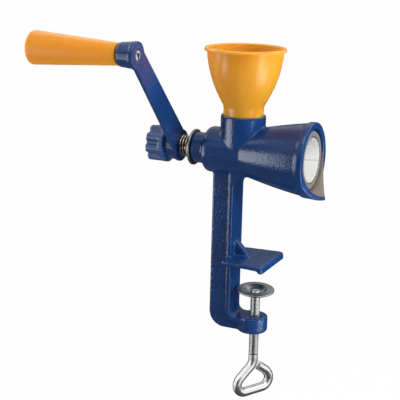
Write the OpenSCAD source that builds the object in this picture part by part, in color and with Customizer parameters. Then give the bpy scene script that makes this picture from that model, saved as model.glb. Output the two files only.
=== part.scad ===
// Hand-cranked spice mill that clamps to a table edge.
// The origin is the corner where the table's top edge meets the column.
// X runs forward to the mouth, Y to the left, Z up. Millimetres.

/* [Housing] */
// Height of the spindle axis above the table top
axis_h = 98.5; // [94:0.5:104]
// Outer radius of the barrel
barrel_r = 20; // [19.5:0.25:21.5]
// Distance of the barrel's rear face behind the column's front face
barrel_back = 29.5; // [28:0.5:31]
// Rounding of the barrel's rear shoulder
shoulder_r = 5; // [2:0.5:6]
// Outer radius of the bearing boss
boss_r = 13.5; // [12:0.5:14.5]
// Length of the bearing boss behind the barrel
boss_len = 11.7; // [9:0.1:14]
// Where the bell starts to flare, ahead of the column
bell_x = 7; // [5:0.5:9]
// Distance of the bell's rim ahead of the column
rim_x = 68; // [64:0.5:70]
// Outer radius of the bell where its rim band starts
bell_r = 31; // [30:0.25:32.5]
// Length of the thickened rim band
band_l = 7; // [4:0.5:9]
// How far the rim band stands proud of the bell
band_t = 1.4; // [0.6:0.1:2]
// Width of the rim's flat front face
rim_wall = 6; // [5:0.25:6.5]
// Reach of the pouring beak ahead of the rim
beak_l = 11.6; // [8:0.2:16]
// Wall of the beak at its tip
beak_wall = 3.3; // [2:0.1:4]
// Radius of the worm chamber
chamber_r = 14.5; // [14:0.1:15]
// Wall between the bearing boss's bush and the worm chamber, measured from the barrel's rear face
rear_wall = 11.5; // [9:0.5:13]

/* [Hopper neck] */
// Distance of the hopper's axis ahead of the column's front face
hopper_x = 2.8; // [1:0.2:5]
// Outer radius of the neck
neck_r = 19.5; // [19:0.1:19.9]
// Height of the neck's mouth above the spindle axis
neck_h = 33; // [30:0.5:38]
// Depth of the socket that holds the hopper
socket_d = 15; // [8:0.5:16]
// Radius of the throat below the socket
throat_r = 13.4; // [10:0.2:13.8]

/* [Column] */
// Width of the column's front flange
column_w = 25.2; // [22:0.2:28]
// Thickness of the front flange
flange_t = 3.9; // [3:0.1:5]
// Thickness of the rear web
web_w = 18; // [14:0.5:20]
// Depth of the column from its front face to the back of the web
column_d = 20.6; // [18:0.2:24]
// Fillet between the column's front face and the barrel
crotch_r = 10.5; // [3:0.5:12]

/* [Table plate] */
// Reach of the table plate ahead of the column
plate_reach = 35.6; // [30:0.2:40]
// Width of the plate at its front edge
plate_w = 56; // [46:0.2:60]
// Width of the plate at the column
plate_root_w = 50; // [44:0.2:54]
// Thickness of the plate
plate_t = 3.7; // [3:0.1:5]
// Height of the plate's front lip, from the table top
lip_h = 6; // [5.2:0.1:8]
// Length of the flat underside of the lip
lip_l = 3.4; // [2:0.2:6]
// Corner radius of the plate
plate_corner_r = 3; // [1:0.5:4]
// Rounding of the lip's upper front edge
lip_round = 3.5; // [2:0.5:4.5]
// Height of the rib on the plate
rib_h = 14.5; // [8:0.5:18]
// Reach of the rib
rib_l = 14; // [8:0.5:20]
// Thickness of the rib
rib_t = 7.5; // [4:0.5:8]

/* [Foot] */
// Depth of the clamp's jaw, from the table top down to the foot
jaw_h = 49; // [44:0.5:56]
// Height of the foot's arm
foot_h = 12; // [10:0.5:14]
// Rounding of the foot's outer corner
foot_r = 14; // [8:0.5:18]
// Fillet of the jaw's inner corner
jaw_r = 6; // [3:0.5:8]
// Distance of the clamp screw ahead of the column
screw_x = 20; // [18:0.5:21]
// Radius of the clamp boss
clamp_boss_r = 13.4; // [11:0.2:15]
// How far the middle of the clamp boss lies behind the screw
clamp_boss_back = 2; // [0:0.5:3]
// How far the clamp boss stands above the foot
clamp_boss_up = 1.2; // [0.2:0.2:4]
// How far the clamp boss stands below the foot
clamp_boss_down = 1.3; // [0.5:0.1:4]

/* [Grinding set] */
// Outer radius of the grinding ring
ring_r = 24.8; // [24:0.1:25.2]
// Length of the grinding ring
ring_l = 24; // [20:0.5:26]
// Depth of the grinding faces behind the rim
face_back = 1.8; // [1:0.1:3]
// Depth of the open groove round the front of the ring, behind the rim
mouth_d = 5; // [4:0.1:7]
// Radius of the cone's front face
cone_r = 19.5; // [18.5:0.1:20.2]
// Radius of the cone's rear end
cone_back_r = 13; // [12.4:0.1:13.4]
// Length of the cone
cone_l = 28; // [26.5:0.1:30]
// Thickness of the cone's plain front edge
cone_edge = 2; // [1:0.1:3]
// Teeth round the cone
cone_teeth = 15; // [9:1:24]
// Teeth round the ring
ring_teeth = 22; // [12:1:30]
// Depth of the teeth at the rear end of the cone
tooth_d = 1; // [0.6:0.1:1.4]
// Turn of the cone's teeth from end to end, degrees
tooth_turn = 40; // [0:1:60]
// Running gap between cone and ring
grind_gap = 0.4; // [0.3:0.05:0.8]
// Depth of the dish in the cone's face
dish_d = 0.8; // [0.4:0.1:1.5]

/* [Spindle and worm] */
// Radius of the spindle
spindle_r = 6; // [5.8:0.1:6.4]
// Width across the flats of the square that drives the crank
square_w = 8.2; // [7:0.1:8.2]
// Radius of the threaded end
thread_r = 4; // [3.5:0.1:4.1]
// Outer radius of the spindle bush
bush_r = 9; // [8:0.1:10]
// Core radius of the worm
worm_core_r = 8.5; // [8:0.1:9.5]
// Pitch of the worm
worm_pitch = 22; // [16:0.5:30]
// Share of the turn that the flight fills, degrees
flight_w = 56; // [40:2:90]
// Running gap between worm and chamber
worm_gap = 0.5; // [0.3:0.05:0.8]
// Radius of the cross pins
cross_pin_r = 2; // [1.5:0.1:2.5]

/* [Washer and spring] */
// Outer radius of the thrust washer
washer_r = 15.8; // [13:0.1:17]
// Thickness of the thrust washer
washer_t = 2; // [1:0.1:3]
// Length of the spring as fitted
spring_l = 11.3; // [10.6:0.1:14]
// Outer radius of the spring
spring_r = 9.6; // [8.8:0.1:10.4]
// Diameter of the spring wire
wire_d = 1.6; // [1.3:0.05:1.75]
// Turns of the spring
spring_turns = 4; // [3:0.25:4.25]
// Travel of the crank as the knob tightens the spring
adjust_travel = 1.9; // [1:0.1:2.4]

/* [Crank] */
// Length of the crank between spindle and grip pin
crank_l = 122.5; // [100:0.5:140]
// Lean of the crank at rest, from upright towards the right
crank_turn = 44.2; // [0:0.2:90]
// Width of the arm at the hub
arm_w = 23.5; // [20:0.5:27]
// Width of the arm at the pin boss
arm_end_w = 18.5; // [15:0.5:21]
// Thickness of the arm
arm_t = 3.4; // [3:0.1:6]
// Radius of the hub
hub_r = 14; // [12:0.2:16]
// Length of the hub
hub_l = 12.5; // [10:0.5:16]
// Radius of the pin boss at the arm
pin_boss_r = 11.4; // [10.6:0.2:13]
// Radius of the pin boss at the grip
pin_boss_end_r = 10; // [8.6:0.2:10.4]
// Length of the pin boss with the arm
pin_boss_l = 16; // [13:0.5:28]
// Radius of the grip pin
pin_r = 4; // [3:0.1:4.5]
// Radius of the pin's riveted end
rivet_r = 5; // [4.6:0.1:6]

/* [Grip] */
// Length of the grip
grip_l = 81.5; // [65:0.5:100]
// Radius of the grip at the crank
grip_r = 9.2; // [8.5:0.1:11]
// Radius of the grip at its thick end
grip_end_r = 14.4; // [13:0.1:17]
// Rounding of the grip's thick end
grip_round = 3.5; // [2:0.5:5.5]
// Radius of the pin's head
head_r = 6.5; // [6:0.1:7]

/* [Adjusting knob] */
// Radius of the knob over its lobes
knob_r = 16.5; // [15:0.5:20]
// Length of the knob
knob_l = 16.6; // [12:0.2:19]
// Lobes round the knob
knob_lobes = 8; // [6:1:9]
// Radius of a lobe
lobe_r = 3.8; // [3.4:0.1:4.2]
// Thickness of the round flange on the knob's front
knob_flange_t = 4.5; // [3:0.5:6]
// Width across the flats of the nut in the knob
nut_w = 13; // [12:0.5:14]
// Thickness of the nut in the knob
nut_t = 6.5; // [5:0.5:8]

/* [Hopper] */
// Radius of the hopper over its rim
hopper_r = 35; // [33:0.5:38]
// Height of the hopper above the neck's mouth
hopper_h = 57; // [50:0.5:64]
// Radius of the hopper's rim bead
bead_r = 1.5; // [1:0.1:2]
// Wall of the hopper
hopper_wall = 2; // [1.6:0.1:2.4]
// Outer radius of the hopper's spigot
spigot_r = 17.35; // [17:0.05:17.6]

/* [Clamp] */
// Radius of the clamp screw
rod_r = 4.2; // [3.8:0.1:4.5]
// Thickness of table that the clamp is set to
table_t = 22.5; // [8:0.5:34]
// Length of the straight screw below the pad
shank_l = 66; // [62:0.5:80]
// Radius of the clamp pad
pad_r = 16.6; // [14:0.2:18]
// Sheet thickness of the clamp pad
pad_t = 1.5; // [1:0.1:2]
// Depth of the pad's cup
cup_d = 3.4; // [3:0.1:6]
// Radius of the cup's floor
cup_r = 7; // [6.2:0.1:7.6]
// Direction of the screw's loop, degrees from the X axis
loop_turn = 58; // [0:1:180]
// Height of the screw's loop
loop_h = 36.5; // [32:0.5:42]
// Centre-line radius of the loop's corners
loop_r = 8; // [7:0.5:9]
// Reach of the loop's corner on the bent side, at the middle of the rod
loop_left = 20.5; // [19:0.5:23]
// Reach of the loop's corner on the free side
loop_right = 18.5; // [18:0.5:21]

/* [Fits] */
// Radial clearance of a running fit
run_gap = 0.05; // [0.02:0.01:0.09]
// Clearance on each side of the sliding square
slide_gap = 0.1; // [0.05:0.01:0.2]
// Gap between faces that turn or slide on each other
face_gap = 0.1; // [0.05:0.01:0.2]
// Radial clearance of a pressed seat
seat_gap = 0.01; // [0.005:0.005:0.02]

/* [Hidden] */
$fn = 72;

paint = "#1d3c75";
yellow = "#f0a52e";
steel = "#b9bcc0";
iron = "#77797c";
over = 1;

// Stations along the spindle axis, from the rear to the mouth
barrel_end = -barrel_back;
boss_end = barrel_end - boss_len;
chamber_end = barrel_end + rear_wall;
washer_front = boss_end - face_gap;
washer_back = washer_front - washer_t;
hub_front = washer_back - spring_l;
hub_back = hub_front - hub_l;
knob_front = hub_back - face_gap;
knob_back = knob_front - knob_l;
face_x = rim_x - face_back;
ring_back = face_x - ring_l;
cone_back = face_x - cone_l;
beak_x = rim_x + beak_l;
worm_back = chamber_end + over;
worm_l = cone_back - worm_back;

// Radii of the mouth
rim_r = bell_r + band_t;
mouth_r = rim_r - rim_wall;
beak_flare = 0.9;
cone_slope = (cone_r - cone_back_r) / cone_l;
function cone_at(x) = cone_back_r + cone_slope * (x - cone_back);

// Stations along the grip
pin_boss_back = hub_front - pin_boss_l;
thin_washer_t = 1;
grip_front = pin_boss_back - thin_washer_t - 2 * face_gap;
grip_back = grip_front - grip_l;
head_t = 3;
head_pocket = head_t + thin_washer_t + 2 * face_gap + over;
washer_rim = 1;

// Heights
foot_top = -jaw_h;
foot_bottom = foot_top - foot_h;
clamp_boss_top = foot_top + clamp_boss_up;
clamp_boss_bottom = foot_bottom - clamp_boss_down;
neck_top = axis_h + neck_h;
socket_floor = neck_top - socket_d;
rim_z = neck_top + hopper_h - bead_r;
pad_z = -table_t;
bend_z = pad_z - shank_l;
loop_z = bend_z - loop_h;

// Points on a circle from one angle to another
function arc(c, r, a0, a1, n = 5) =
    [for (i = [0 : n]) let (a = a0 + (a1 - a0) * i / n) c + r * [cos(a), sin(a)]];
// Points on a quadratic and on a cubic curve
function curve2(a, b, c, n = 10) =
    [for (i = [0 : n]) let (t = i / n) (1 - t) * (1 - t) * a + 2 * t * (1 - t) * b + t * t * c];
function curve3(a, b, c, d, n = 12) =
    [for (i = [0 : n]) let (t = i / n, s = 1 - t)
        s * s * s * a + 3 * s * s * t * b + 3 * s * t * t * c + t * t * t * d];

// Places a shape that is drawn along Z on the spindle axis, with Y of the drawing upwards
module on_axis(x = 0) {
    translate([x, 0, axis_h]) rotate([90, 0, 90]) children();
}

// The same on the grip pin's axis
module on_pin(x = 0) {
    translate([0, 0, axis_h]) rotate([crank_turn, 0, 0])
        translate([x, 0, crank_l]) rotate([90, 0, 90]) children();
}

// Spins an outline of [station, radius] points round Z
module spun(points) {
    rotate_extrude() polygon([for (p = points) [p[1], p[0]]]);
}

// Extrudes an outline drawn in X and Z, centred on the middle plane
module slab(w) {
    rotate([90, 0, 0]) linear_extrude(w, center = true) children();
}

// A rectangle with its lower left corner rounded
module corner_block(x0, z0, x1, z1, r) {
    translate([x0 + r, z0]) square([x1 - x0 - r, z1 - z0]);
    translate([x0, z0 + r]) square([x1 - x0, z1 - z0 - r]);
    translate([x0 + r, z0 + r]) circle(r);
}

// Outside of barrel, bearing boss and bell, with the beak still all round
module housing_outside() {
    band_x = rim_x - band_l;
    bell_mid = [bell_x + 0.58 * (band_x - bell_x), barrel_r + 0.72 * (bell_r - barrel_r)];
    boss_edge = 1;
    on_axis() spun(concat(
        [[boss_end, 0]],
        arc([boss_end + boss_edge, boss_r - boss_edge], boss_edge, 180, 90, 3),
        [[barrel_end, boss_r]],
        arc([barrel_end + shoulder_r, barrel_r - shoulder_r], shoulder_r, 180, 90),
        curve2([bell_x, barrel_r], bell_mid, [band_x, bell_r]),
        [[band_x + band_t, rim_r - 0.2], [rim_x, rim_r], [beak_x, rim_r + beak_flare],
         [beak_x, 0]]));
}

// What is cut away ahead of the rim, so that only the pointed beak stays below
module beak_cut() {
    far = rim_r + beak_l;
    translate([rim_x, -far, axis_h]) cube([far, 2 * far, far]);
    translate([0, 0, axis_h - far]) linear_extrude(far + over)
        polygon([[rim_x, -far], [rim_x, -mouth_r], [beak_x, 0], [rim_x, mouth_r],
                 [rim_x, far], [rim_x + far, far], [rim_x + far, -far]]);
}

// Bores along the spindle axis
module housing_bores() {
    on_axis() spun([
        [boss_end - over, 0], [boss_end - over, bush_r], [chamber_end, bush_r],
        [chamber_end, chamber_r], [ring_back, chamber_r], [ring_back, ring_r],
        [rim_x - mouth_d, ring_r], [rim_x - mouth_d, mouth_r], [rim_x, mouth_r],
        [beak_x, rim_r + beak_flare - beak_wall],
        [beak_x + over, rim_r + beak_flare - beak_wall], [beak_x + over, 0]]);
}

module neck_outside() {
    edge = 1.2;
    translate([hopper_x, 0, axis_h]) spun(concat(
        [[0, 0], [0, neck_r]],
        arc([neck_h - edge, neck_r - edge], edge, 90, 0, 3),
        [[neck_h, 0]]));
}

module neck_bores() {
    translate([hopper_x, 0, axis_h]) cylinder(h = neck_h, r = throat_r);
    translate([hopper_x, 0, socket_floor]) cylinder(h = socket_d + over, r = spigot_r + run_gap);
}

// Column and foot: a web behind a wider flange that turns the corner with it
module column_and_foot() {
    root = over + 1;
    slab(web_w) difference() {
        corner_block(-column_d, foot_bottom, screw_x, axis_h, foot_r);
        corner_block(root - flange_t, foot_top - flange_t + root, screw_x + over, axis_h + over,
                     jaw_r + flange_t - root);
    }
    slab(column_w) difference() {
        corner_block(-flange_t, foot_top - flange_t, screw_x, axis_h, jaw_r + flange_t);
        corner_block(0, foot_top, screw_x + over, axis_h + over, jaw_r);
    }
    slab(column_w) difference() {
        translate([-over, axis_h - barrel_r - crotch_r]) square([crotch_r + over, crotch_r + barrel_r / 2]);
        translate([crotch_r, axis_h - barrel_r - crotch_r]) circle(crotch_r);
    }
}

module clamp_boss() {
    edge = 2.2;
    translate([screw_x - clamp_boss_back, 0, 0]) spun(concat(
        [[clamp_boss_bottom, 0]],
        arc([clamp_boss_bottom + edge, clamp_boss_r - edge], edge, 180, 90, 4),
        arc([clamp_boss_top - edge / 2, clamp_boss_r - edge / 2], edge / 2, 90, 0, 3),
        [[clamp_boss_top, 0]]));
}

module table_plate() {
    bottom = lip_h - plate_t;
    lip_back = plate_reach - lip_l;
    edge_gap = 0.1;
    intersection() {
        linear_extrude(lip_h) offset(r = plate_corner_r) offset(delta = -plate_corner_r)
            polygon([[-flange_t, -plate_root_w / 2], [plate_reach, -plate_w / 2],
                     [plate_reach, plate_w / 2], [-flange_t, plate_root_w / 2]]);
        slab(plate_w + over) polygon(concat(
            [[-flange_t - over, bottom], [lip_back - bottom, bottom], [lip_back, 0], [plate_reach + over, 0]],
            [[plate_reach + over, lip_h - lip_round]],
            arc([plate_reach + edge_gap - lip_round, lip_h - lip_round], lip_round, 0, 90),
            [[-flange_t - over, lip_h]]));
    }
    slab(rib_t) polygon([[-over, lip_h - over], [rib_l, lip_h - over], [rib_l, lip_h],
                         [0, lip_h + rib_h], [-over, lip_h + rib_h]]);
}

module mill_body() {
    color(paint) difference() {
        union() {
            difference() {
                housing_outside();
                beak_cut();
            }
            neck_outside();
            column_and_foot();
            clamp_boss();
            table_plate();
        }
        housing_bores();
        neck_bores();
        translate([screw_x, 0, clamp_boss_bottom - over])
            cylinder(h = clamp_boss_top - clamp_boss_bottom + 2 * over, r = rod_r + run_gap);
    }
}

// Star outline whose tips lie at radius r and whose valleys lie at radius v
module toothed(r, v, teeth) {
    polygon([for (i = [0 : teeth - 1], k = [0 : 3])
        let (a = 360 * (i + [0, 0.25, 0.5, 0.62][k]) / teeth, q = [r, r, v, v][k])
        q * [cos(a), sin(a)]]);
}

module grinding_ring() {
    back_r = cone_at(ring_back) + grind_gap;
    front_r = cone_at(face_x) + grind_gap;
    edge = 0.8;
    color(iron) difference() {
        on_axis() spun([[ring_back, 0], [ring_back, ring_r - seat_gap],
            [face_x - edge, ring_r - seat_gap], [face_x, ring_r - edge], [face_x, 0]]);
        on_axis(ring_back) linear_extrude(ring_l, scale = front_r / back_r, slices = 1)
            toothed(back_r, back_r + tooth_d, ring_teeth);
        on_axis() spun([[face_x - edge, 0], [face_x - edge, front_r], [face_x + over, front_r + edge],
                        [face_x + over, 0]]);
    }
}

module grinding_cone() {
    edge_x = face_x - cone_edge;
    dish_r = cone_r - 1.2;
    ball_r = (dish_r * dish_r + dish_d * dish_d) / (2 * dish_d);
    color(steel) difference() {
        union() {
            on_axis(cone_back) linear_extrude(cone_l - cone_edge, scale = cone_at(edge_x) / cone_back_r,
                                              twist = tooth_turn, slices = 8)
                toothed(cone_back_r, cone_back_r - tooth_d, cone_teeth);
            on_axis() spun([[edge_x - over, 0], [edge_x - over, cone_at(edge_x) - 2 * tooth_d],
                [edge_x, cone_at(edge_x)], [face_x - 0.6, cone_at(face_x - 0.6)],
                [face_x, cone_r - 0.6], [face_x, 0]]);
        }
        on_axis(face_x - dish_d + ball_r) sphere(ball_r, $fn = 240);
        on_axis(cone_back - over) cylinder(h = spindle_front - cone_back + over, r = spindle_r);
        on_axis(cone_pin_x) rotate([90, 0, 0]) cylinder(h = 2 * cone_r, r = cross_pin_r, center = true);
    }
}

// The spindle ends inside the cone and carries worm and cone on cross pins
cone_pin_in = 10;
spindle_front = face_x - 6;
cone_pin_x = cone_back + cone_pin_in;
worm_pin_x = worm_back + worm_l / 2;
square_front = hub_front + adjust_travel + 0.5;
square_back = hub_back + adjust_travel + 0.5;
spindle_end = knob_back + 1;

module spindle() {
    chamfer = 0.8;
    color(steel) difference() {
        on_axis() union() {
            spun([[square_front, 0], [square_front, spindle_r - chamfer],
                  [square_front + chamfer, spindle_r], [spindle_front - chamfer, spindle_r],
                  [spindle_front, spindle_r - chamfer], [spindle_front, 0]]);
            translate([0, 0, square_back])
                rotate([0, 0, crank_turn]) linear_extrude(square_front - square_back + over)
                    square(square_w, center = true);
            spun([[spindle_end, 0], [spindle_end, thread_r - chamfer],
                  [spindle_end + chamfer, thread_r], [square_back + over, thread_r], [square_back + over, 0]]);
        }
        on_axis(cone_pin_x) rotate([90, 0, 0]) cylinder(h = 4 * spindle_r, r = cross_pin_r, center = true);
        on_axis(worm_pin_x) rotate([90, 0, 0]) cylinder(h = 4 * spindle_r, r = cross_pin_r, center = true);
    }
}

module spindle_bush() {
    color("#b08d57") on_axis(boss_end) difference() {
        cylinder(h = chamber_end - boss_end, r = bush_r - seat_gap);
        translate([0, 0, -over])
            cylinder(h = chamber_end - boss_end + 2 * over, r = spindle_r + run_gap);
    }
}

// Cross-section of the worm: a round core with one flight, which slopes down to the core on both sides
module worm_section() {
    r = chamber_r - worm_gap;
    slope = 8;
    bare = 360 - 2 * slope - flight_w;
    polygon(concat(
        [for (i = [0 : 4]) let (a = flight_w * (i / 4 - 0.5)) r * [cos(a), sin(a)]],
        [for (i = [0 : 16]) let (a = flight_w / 2 + slope + bare * i / 16)
            worm_core_r * [cos(a), sin(a)]]));
}

module feed_worm() {
    color(iron) difference() {
        on_axis(worm_back) linear_extrude(worm_l, twist = -360 * worm_l / worm_pitch, slices = 36, $fn = 24)
            worm_section();
        on_axis(worm_back - over) cylinder(h = worm_l + 2 * over, r = spindle_r);
        on_axis(worm_pin_x) rotate([90, 0, 0]) cylinder(h = 4 * chamber_r, r = cross_pin_r, center = true);
    }
}

// Pin across the spindle axis, upright in the drawing
module cross_pin(x, half) {
    edge = 0.4;
    color(steel) on_axis(x) rotate([90, 0, 0]) spun([[-half, 0], [-half, cross_pin_r - edge],
        [-half + edge, cross_pin_r], [half - edge, cross_pin_r], [half, cross_pin_r - edge], [half, 0]]);
}

module worm_pin() {
    cross_pin(worm_pin_x, worm_core_r - 0.5);
}

module cone_pin() {
    cross_pin(cone_pin_x, cone_at(cone_pin_x) - 2 * tooth_d);
}

module thrust_washer() {
    edge = 0.4;
    hole = spindle_r + 0.3;
    color(steel) on_axis() spun([[washer_back, hole], [washer_back, washer_r - edge],
        [washer_back + edge, washer_r], [washer_front - edge, washer_r],
        [washer_front, washer_r - edge], [washer_front, hole]]);
}

// Compression spring: one tube along a helix whose end turns lie flat on washer and hub
spring_mid_r = spring_r - wire_d / 2;
spring_rings = 8;
spring_sides = 6;
end_turn = 0.4;
spring_rise = (spring_l - wire_d - 2 * face_gap) / (spring_turns - end_turn);
function spring_x(t) =
    t < end_turn ? spring_rise * t * t / (2 * end_turn)
    : t > spring_turns - end_turn
        ? spring_rise * (spring_turns - end_turn) - spring_rise * pow(spring_turns - t, 2) / (2 * end_turn)
        : spring_rise * (t - end_turn / 2);
function spring_point(t) = [spring_mid_r * cos(360 * t), spring_mid_r * sin(360 * t), spring_x(t)];
function unit(v) = v / norm(v);
spring_steps = round(spring_turns * spring_rings);
spring_helix = [for (i = [0 : spring_steps]) spring_point(spring_turns * i / spring_steps)];
function spring_along(i) = unit(spring_helix[min(i + 1, spring_steps)] - spring_helix[max(i - 1, 0)]);
function spring_tail(i, s) = spring_helix[i] + s * wire_d * unit(cross([0, 0, 1],
    [spring_helix[i][0], spring_helix[i][1], 0]));
spring_path = concat([spring_tail(0, -1)], spring_helix, [spring_tail(spring_steps, 1)]);
spring_last = len(spring_path) - 1;

// Least distance between stretches of the wire that are half a turn or more apart, less the wire
spring_self_gap = min([for (i = [0 : spring_last]) for (j = [i + spring_rings / 2 : spring_last])
    if (j <= spring_last) norm(spring_path[i] - spring_path[j])]) - wire_d;
echo(spring_self_gap = spring_self_gap);

// Closed tube of a given radius round a path
module tube(path, along, radius, sides) {
    last = len(path) - 1;
    rings = [for (i = [0 : last])
        let (side = unit(cross(along[i], [0, 0, 1])), up = cross(side, along[i]))
        for (s = [0 : sides - 1]) let (a = 360 * (s + 0.5) / sides)
            path[i] + radius * (cos(a) * side + sin(a) * up)];
    first = len(rings);
    faces = concat(
        [for (i = [0 : last - 1]) for (s = [0 : sides - 1])
            [i * sides + s, (i + 1) * sides + (s + 1) % sides, (i + 1) * sides + s]],
        [for (i = [0 : last - 1]) for (s = [0 : sides - 1])
            [i * sides + s, i * sides + (s + 1) % sides, (i + 1) * sides + (s + 1) % sides]],
        [for (s = [0 : sides - 1]) [first, (s + 1) % sides, s]],
        [for (s = [0 : sides - 1]) [first + 1, last * sides + s, last * sides + (s + 1) % sides]]);
    polyhedron(concat(rings, [path[0], path[last]]), faces);
}

module spring() {
    along = concat([unit(spring_path[1] - spring_path[0])],
                   [for (i = [0 : spring_steps]) spring_along(i)],
                   [unit(spring_path[spring_last] - spring_path[spring_last - 1])]);
    color(iron) on_axis(hub_front + face_gap + wire_d / 2)
        tube(spring_path, along, wire_d / 2, spring_sides);
}

// Crank arm, drawn upright and then leaned over
module crank_arm() {
    blend = 6;
    edge = 1.5;
    arm_back = hub_front - arm_t;
    color(paint) translate([0, 0, axis_h]) rotate([crank_turn, 0, 0]) difference() {
        union() {
            translate([arm_back, 0, 0]) rotate([90, 0, 90]) linear_extrude(arm_t)
                offset(r = -blend) offset(r = blend) {
                    circle(hub_r);
                    translate([0, crank_l]) circle(pin_boss_r);
                    polygon([[-arm_w / 2, 0], [arm_w / 2, 0], [arm_end_w / 2, crank_l],
                             [-arm_end_w / 2, crank_l]]);
                }
            rotate([90, 0, 90]) spun(concat(
                [[hub_back, 0]],
                arc([hub_back + edge, hub_r - 2 * edge], edge, 180, 90, 3),
                [[hub_front - edge, hub_r - edge / 2], [hub_front - edge, 0]]));
            translate([0, 0, crank_l]) rotate([90, 0, 90]) spun(concat(
                [[pin_boss_back, 0]],
                arc([pin_boss_back + edge, pin_boss_end_r - edge], edge, 180, 90, 3),
                [[hub_front - edge, pin_boss_r - 0.15], [hub_front - edge, 0]]));
        }
        translate([hub_back - over, 0, 0]) rotate([90, 0, 90]) linear_extrude(hub_l + 2 * over)
            square(square_w + 2 * slide_gap, center = true);
        translate([0, 0, crank_l]) rotate([90, 0, 90]) spun([[pin_boss_back - over, 0],
            [pin_boss_back - over, pin_r], [hub_front - rivet_d, pin_r], [hub_front - rivet_d, rivet_r],
            [hub_front + over, rivet_r], [hub_front + over, 0]]);
    }
}

rivet_d = 1.6;
rivet_sink = 0.5;

// Pin with a rivet end in the arm and a head in the grip's far end
module grip_pin() {
    head_front = grip_back + head_pocket - thin_washer_t - 2 * face_gap;
    edge = 0.8;
    color(steel) on_pin() spun([[head_front - head_t, 0], [head_front - head_t, head_r - edge],
        [head_front - head_t + edge, head_r], [head_front, head_r], [head_front, pin_r],
        [hub_front - rivet_d, pin_r], [hub_front - rivet_d, rivet_r], [hub_front - rivet_d + edge, rivet_r],
        [hub_front - rivet_sink, rivet_r - edge], [hub_front - rivet_sink, 0]]);
}

module flat_ring(x, r_in, r_out) {
    color(iron) on_pin(x) difference() {
        cylinder(h = thin_washer_t, r = r_out);
        translate([0, 0, -over]) cylinder(h = thin_washer_t + 2 * over, r = r_in);
    }
}

module grip_washer() {
    flat_ring(grip_front + face_gap, pin_r + run_gap, grip_r - washer_rim);
}

module head_washer() {
    flat_ring(grip_back + head_pocket - thin_washer_t - face_gap, pin_r + run_gap, head_r + washer_rim);
}

module grip() {
    edge = 1;
    taper = atan((grip_end_r - grip_r) / (grip_front - grip_back));
    pocket_r = head_r + washer_rim + 0.4;
    color(yellow) on_pin() spun(concat(
        [[grip_front, pin_r + run_gap], [grip_front, grip_r - edge], [grip_front - edge, grip_r]],
        arc([grip_back + grip_round, grip_end_r - grip_round], grip_round, 90 - taper, 180, 6),
        [[grip_back, pocket_r], [grip_back + head_pocket, pocket_r],
         [grip_back + head_pocket, pin_r + run_gap]]));
}

// Cross-section of the knob: a round core with lobes
module knob_section(blend) {
    offset(r = -blend) offset(r = blend) {
        circle(knob_r - lobe_r * 0.95);
        for (i = [0 : knob_lobes - 1]) rotate(360 * (i + 0.29) / knob_lobes)
            translate([knob_r - lobe_r, 0]) circle(lobe_r, $fn = 32);
    }
}

module adjusting_knob() {
    bevel = 1.4;
    blend = 0.6;
    flange_in = 0.5;
    bore_r = thread_r + 0.3;
    color(paint) difference() {
        intersection() {
            union() {
                on_axis(knob_front - knob_flange_t) cylinder(h = knob_flange_t, r = knob_r - flange_in);
                on_axis(knob_back) linear_extrude(knob_l) knob_section(blend);
            }
            on_axis() spun([[knob_back, 0], [knob_back, knob_r - bevel], [knob_back + bevel, knob_r + over],
                [knob_front - over, knob_r + over], [knob_front, knob_r - over / 2], [knob_front, 0]]);
        }
        on_axis(knob_back - over) cylinder(h = knob_l + 2 * over, r = bore_r);
        on_axis(knob_front - nut_t) cylinder(h = nut_t + over, r = nut_w / sqrt(3) + seat_gap, $fn = 6);
    }
}

module knob_insert() {
    color(steel) on_axis(knob_front - nut_t) difference() {
        cylinder(h = nut_t, r = nut_w / sqrt(3), $fn = 6);
        translate([0, 0, -over]) cylinder(h = nut_t + 2 * over, r = thread_r + run_gap);
    }
}

// Egg-cup bowl that narrows to a spigot
module hopper() {
    bowl_r = hopper_r - bead_r - 0.5;
    waist_r = spigot_r + 0.9;
    bowl_h = 46.5 / 55.5 * (rim_z - neck_top);
    waist = rim_z - bowl_h;
    outside = curve3([bowl_r, rim_z], [bowl_r - 0.8, rim_z - 0.34 * bowl_h],
                     [bowl_r - 4.4, rim_z - 0.62 * bowl_h], [waist_r, waist]);
    neck_curve = curve2([waist_r, waist], [spigot_r, waist - 2], [spigot_r, waist - 5], 4);
    inside = [for (p = outside) p - [hopper_wall, 0]];
    spigot_end = socket_floor + face_gap;
    color(yellow) translate([hopper_x, 0, 0]) {
        rotate_extrude() polygon(concat(outside, neck_curve,
            [[spigot_r, spigot_end], [spigot_r - hopper_wall, spigot_end]],
            [[spigot_r - hopper_wall, waist - 5]],
            [for (i = [len(inside) - 1 : -1 : 0]) inside[i]]));
        translate([0, 0, rim_z]) rotate_extrude() translate([hopper_r - bead_r, 0]) circle(bead_r);
    }
}

// Points along an outline whose corners are bent to a radius
function turn_angle(p, i) = let (a = unit(p[i] - p[i - 1]), b = unit(p[i + 1] - p[i]))
    atan2(a[0] * b[1] - a[1] * b[0], a[0] * b[0] + a[1] * b[1]);
function bend(p, i, r, n = 7) =
    let (turn = turn_angle(p, i), d = unit(p[i] - p[i - 1]),
         side = turn > 0 ? [-d[1], d[0]] : [d[1], -d[0]],
         centre = p[i] - d * r * tan(abs(turn) / 2) + side * r,
         a = atan2(-side[1], -side[0]))
    arc(centre, r, a, a + turn, n);
function bent(p, r) = concat([p[0]], [for (i = [1 : len(p) - 2]) each bend(p, i, r[i])], [p[len(p) - 1]]);

rivet_neck_r = rod_r - 1;
cup_floor = pad_z - cup_d;
shoulder_z = cup_floor - pad_t - face_gap;

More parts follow.
